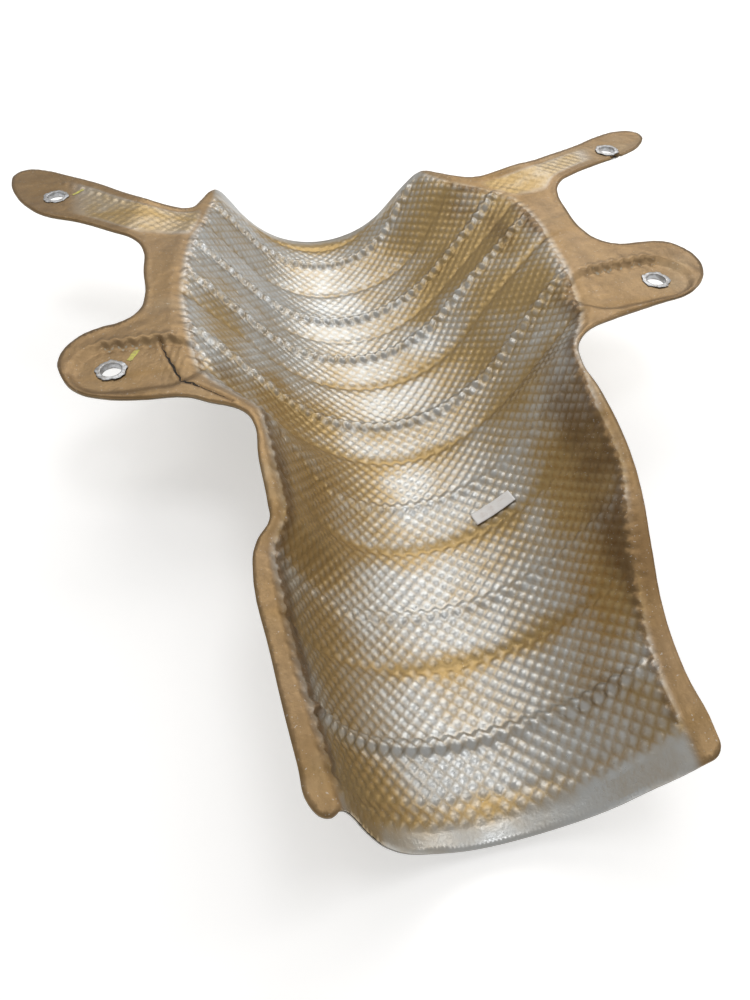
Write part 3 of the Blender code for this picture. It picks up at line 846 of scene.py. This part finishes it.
# -------------------------------------------------------------------- eyelets --
def worn_eyelet(name, cx, cy, sink, seed):
    """A clinched eyelet whose flange edge has split into uneven petals."""
    bore = HOLE_D / 2
    sleeve = bore + EYELET_WALL
    top = GAP + EYELET_WALL
    roll = -(SKIN + GAP + SKIN) - GAP - 0.6 - GAP
    profile = [
        (bore, roll - 0.2), (bore, -0.6), (bore, top - 0.45), (bore + 0.10, top - 0.12), (bore + 0.35, top + 0.02),
        (bore + 0.8, top), (bore + 1.5, top - 0.06), (bore + 2.2, top - 0.10), (bore + 2.5, top - 0.30),
        (bore + 2.3, GAP), (sleeve, GAP - 0.02), (sleeve, roll), (bore + 2.1, roll), (bore + 2.3, roll - 0.25),
        (bore + 2.1, roll - 0.5), (bore + 0.4, roll - 0.5),
    ]
    turns = 128
    ring = bmesh.new()
    grid = []
    for k in range(turns):
        angle = 2 * math.pi * k / turns
        wobble = 0.30 * math.sin(5 * angle + seed) + 0.22 * math.sin(9 * angle + 2.1 * seed) + 0.14 * math.sin(17 * angle + seed * 3)
        rough_z = 0.05 * math.sin(7 * angle + seed * 1.7) + 0.04 * math.sin(13 * angle + seed)
        column = []
        for number, (r, z) in enumerate(profile):
            flare = max(0.0, (r - bore - 0.5) / 2.0) if z > 0 else 0.0
            r2 = r + wobble * flare
            z2 = z + (rough_z * (0.4 + flare) if 3 <= number <= 8 else 0.0)
            column.append(ring.verts.new((
                (cx + r2 * math.cos(angle) - SHIFT_X) * MM,
                (cy + r2 * math.sin(angle) - SHIFT_Y) * MM,
                (EAR_LEVEL - sink + z2) * MM,
            )))
        grid.append(column)
    for k in range(turns):
        a, b = grid[k], grid[(k + 1) % turns]
        for m in range(len(profile)):
            n = (m + 1) % len(profile)
            ring.faces.new((a[m], a[n], b[n], b[m]))
    bmesh.ops.recalc_face_normals(ring, faces=ring.faces[:])
    mesh = bpy.data.meshes.new(name)
    ring.to_mesh(mesh)
    ring.free()
    mesh.shade_smooth()
    made = bpy.data.objects.new(name, mesh)
    bpy.context.scene.collection.objects.link(made)
    made.data.materials.append(eyelet_metal)
    return made


for number, (ear, (cx, cy, sink)) in enumerate(EARS.items()):
    eyelet = worn_eyelet("worn_eyelet_" + ear, cx, cy, sink, 1.3 + 2.4 * number)
    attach(eyelet, "root")
    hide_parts("eyelet_" + ear)
    washer = nodes["eyelet_washer_" + ear]
    washer.data.materials.clear()
    washer.data.materials.append(washer_metal)

mat = nodes["insulation_mat"]
mat.data.materials.clear()
mat.data.materials.append(fibre_felt("ceramic_fibre_mat"))


# ------------------------------------------------- label, small surface marks and painted tear shade --
def surface_patch(name, cx, cy, turn, length, width, lift, thick, across_n, along_n, ragged, material):
    """A thin piece that lies on the embossed sheet."""
    c, w = math.cos(math.radians(turn)), math.sin(math.radians(turn))
    u, v = np.meshgrid(np.linspace(-0.5, 0.5, along_n), np.linspace(-0.5, 0.5, across_n))
    shrink = 1 - ragged * (0.5 + 0.5 * hash_noise(u * 60, v * 60, 9.0, 31)) * (np.maximum(np.abs(u), np.abs(v)) > 0.49)
    du, dv = (u * length * shrink).ravel(), (v * width * shrink).ravel()
    x, y = cx + du * c - dv * w, cy + du * w + dv * c
    away = edge_distance(x, y)
    height, _ = relief(x, y, away)
    n = normals_at(x, y)
    z = sheet(x, y)
    if lift > 0:
        height = 0.15 * height + lift
    else:
        height = height + 0.05
    points = []
    for extra in (thick, 0.0):
        points.append(np.stack([x, y, z], 1) + n * (height + extra)[:, None])
    count = len(x)
    quads = []
    for r in range(across_n - 1):
        for q in range(along_n - 1):
            a = r * along_n + q
            quads.append((a, a + 1, a + 1 + along_n, a + along_n))
            quads.append((a + count, a + along_n + count, a + 1 + along_n + count, a + 1 + count))
    loop = [q for q in range(along_n)]
    loop += [r * along_n + along_n - 1 for r in range(1, across_n)]
    loop += [(across_n - 1) * along_n + q for q in range(along_n - 2, -1, -1)]
    loop += [r * along_n for r in range(across_n - 2, 0, -1)]
    for a, b in zip(loop, loop[1:] + loop[:1]):
        quads.append((a, a + count, b + count, b))
    mesh = bpy.data.meshes.new(name)
    mesh.from_pydata(world(*np.concatenate(points).T), [], quads)
    mesh.validate()
    made = bpy.data.objects.new(name, mesh)
    bpy.context.scene.collection.objects.link(made)
    mesh.shade_smooth()
    mesh.materials.append(material)
    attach(made, "root")
    return made


sticker = surface_patch("blank_label", 27.3, 29.3, 10.0, 20.0, 7.5, 1.55, 0.12, 10, 26, 0.0, label_paper("satin_label_paper"))
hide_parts("label")
mark_paint = paint_mark("yellow_check_paint")
for number, (mx, my, turn, long, wide) in enumerate([(-131.5, 120, 62, 10.0, 3.0), (-161, 287, 40, 9.0, 2.0)]):
    dab = surface_patch("paint_mark_%d" % (number + 1), mx, my, turn, long, wide, 0.0, 0.05, 8, 22, 0.25, mark_paint)

def tear_shade_sliver():
    """Painted shade of the tear's open gap: a thin near-black sliver with tapered ends, laid on the sheet along the
    tear.
    """
    run = np.concatenate([[0], np.cumsum(np.hypot(*np.diff(TEAR, axis=0).T))])
    at = np.arange(0, run[-1], 0.7)
    line = np.stack([np.interp(at, run, TEAR[:, 0]), np.interp(at, run, TEAR[:, 1])], 1)
    line[:, 0] += 0.45 * hash_noise(at, at * 0, 2.6, 41)
    line[:, 1] += 0.45 * hash_noise(at, at * 0, 2.1, 43)
    way = np.gradient(line, axis=0)
    way /= np.linalg.norm(way, axis=1)[:, None]
    aside = np.stack([-way[:, 1], way[:, 0]], 1)
    part = at / run[-1]
    half = 0.42 * np.minimum(1, 5 * part) * np.minimum(1, 3.2 * (1 - part)) * (1 + 0.35 * hash_noise(at, at * 0, 3.1, 47)) + 0.05
    rows = []
    for side, drop in ((-1, 0.10), (0, 0.16), (1, 0.10), (0, -0.25)):
        p = line + aside * (side * half)[:, None]
        height, _ = relief(p[:, 0], p[:, 1], edge_distance(p[:, 0], p[:, 1]))
        rows.append(np.stack([p[:, 0], p[:, 1], sheet(p[:, 0], p[:, 1])], 1) + normals_at(p[:, 0], p[:, 1]) * (height + drop)[:, None])
    count = len(line)
    faces = []
    for k in range(count - 1):
        for m in range(4):
            a, b = m * count + k, ((m + 1) % 4) * count + k
            faces.append((a, a + 1, b + 1, b))
    faces.append(tuple(m * count for m in range(4)))
    faces.append(tuple(m * count + count - 1 for m in reversed(range(4))))
    mesh = bpy.data.meshes.new("tear_shade_sliver")
    mesh.from_pydata(world(*np.concatenate(rows).T), [], faces)
    made = bpy.data.objects.new("tear_shade_sliver", mesh)
    bpy.context.scene.collection.objects.link(made)
    # near-black colour painted in as the shade inside the crack
    g = Graph("painted_tear_shade")
    g.link(g.mix(g.ramp(g.noise(800, 2), 0.4, 0.6), (0.012, 0.010, 0.008), (0.035, 0.026, 0.018)), g.shader.inputs["Base Color"])
    g.shader.inputs["Roughness"].default_value = 0.9
    mesh.materials.append(g.material)
    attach(made, "root")


# painted shade of the tear, built as a dark sliver on the sheet
tear_shade_sliver()

# ------------------------------------------------------ floor, light and camera --
bpy.ops.mesh.primitive_plane_add(size=8, location=(0, 0, -0.0016))
floor = bpy.context.object
floor.name = "studio_floor"
floor_look = Graph("pale_floor")
floor_look.link(
    floor_look.mix(floor_look.ramp(floor_look.noise(3, 2), 0.3, 0.7), (0.90, 0.90, 0.90), (0.88, 0.88, 0.88)),
    floor_look.shader.inputs["Base Color"],
)
floor_look.shader.inputs["Roughness"].default_value = 0.9
floor_look.shader.inputs["Emission Color"].default_value = (1, 1, 1, 1)
floor_look.shader.inputs["Emission Strength"].default_value = 0.36
floor.data.materials.append(floor_look.material)

sky = bpy.data.worlds.new("studio")
bpy.context.scene.world = sky
sky.use_nodes = True
sky.node_tree.nodes["Background"].inputs["Color"].default_value = (1.0, 0.985, 0.96, 1)
sky.node_tree.nodes["Background"].inputs["Strength"].default_value = 0.52


def soft_light(name, where, aim, size, power, colour):
    lamp = bpy.data.lights.new(name, "AREA")
    lamp.shape = "RECTANGLE"
    lamp.size, lamp.size_y = size
    lamp.energy = power
    lamp.color = colour
    made = bpy.data.objects.new(name, lamp)
    bpy.context.scene.collection.objects.link(made)
    made.location = where
    made.rotation_euler = (Vector(aim) - Vector(where)).to_track_quat("-Z", "Y").to_euler()
    return made


soft_light("key_softbox", (0.50, 1.10, 1.05), (0, 0, 0.03), (1.05, 0.7), 6.0, (1.0, 0.99, 0.97))
soft_light("overhead_softbox", (0.25, -0.1, 1.5), (0, 0, 0.03), (0.5, 0.5), 3.0, (0.97, 0.98, 1.0))
soft_light("back_left_softbox", (-0.30, 0.72, 1.05), (0.03, -0.08, 0.0), (0.55, 0.35), 1.8, (1.0, 0.99, 0.97))
soft_light("right_strip", (1.2, 0.1, 0.7), (0, 0, 0.03), (0.3, 0.9), 2.5, (1.0, 0.97, 0.93))

eye = bpy.data.cameras.new("camera")
eye.sensor_width = 36
eye.lens = 28.8
eye.clip_start = 0.01
eye_holder = bpy.data.objects.new("camera", eye)
bpy.context.scene.collection.objects.link(eye_holder)
eye_holder.location = (-0.08880, -0.31018, 0.30495)
eye_holder.rotation_euler = (math.radians(42), 0, math.radians(-12.5))
bpy.context.scene.camera = eye_holder
bpy.context.scene.view_settings.view_transform = "Standard"
